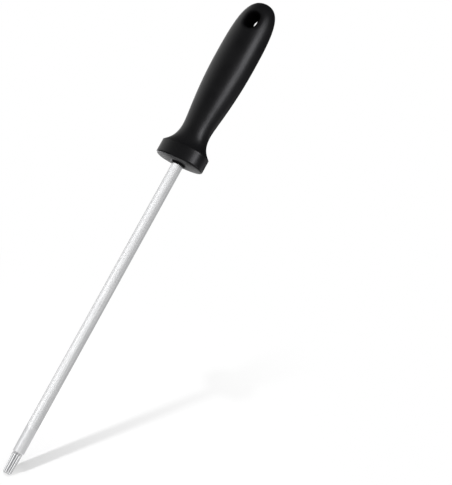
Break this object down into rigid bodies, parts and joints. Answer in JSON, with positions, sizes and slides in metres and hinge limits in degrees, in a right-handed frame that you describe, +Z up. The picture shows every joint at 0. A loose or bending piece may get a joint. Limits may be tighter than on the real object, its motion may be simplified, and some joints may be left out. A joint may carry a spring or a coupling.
{
  "type": "knife sharpening steel",
  "caption": "Butcher's honing steel: long fine-ribbed round rod with a reduced fluted tip, in a black moulded handle with an oval guard and a hanging slot.",
  "frame": {"origin": "centre of the flat end face of the fluted tip", "axes": "+Z up the rod towards the butt of the handle, X along the wide way of the oval handle and guard, Y along the hanging slot"},
  "size_m": [0.0376, 0.0256, 0.388],
  "materials": {
    "plated_steel": "bright nickel or chrome plate over fine lengthwise ribs",
    "black_plastic": "smooth satin injection-moulded black plastic"
  },
  "bodies": {
    "root": {"ribbed_rod": "plated_steel", "guarded_handle": "black_plastic"}
  },
  "joints": []
}
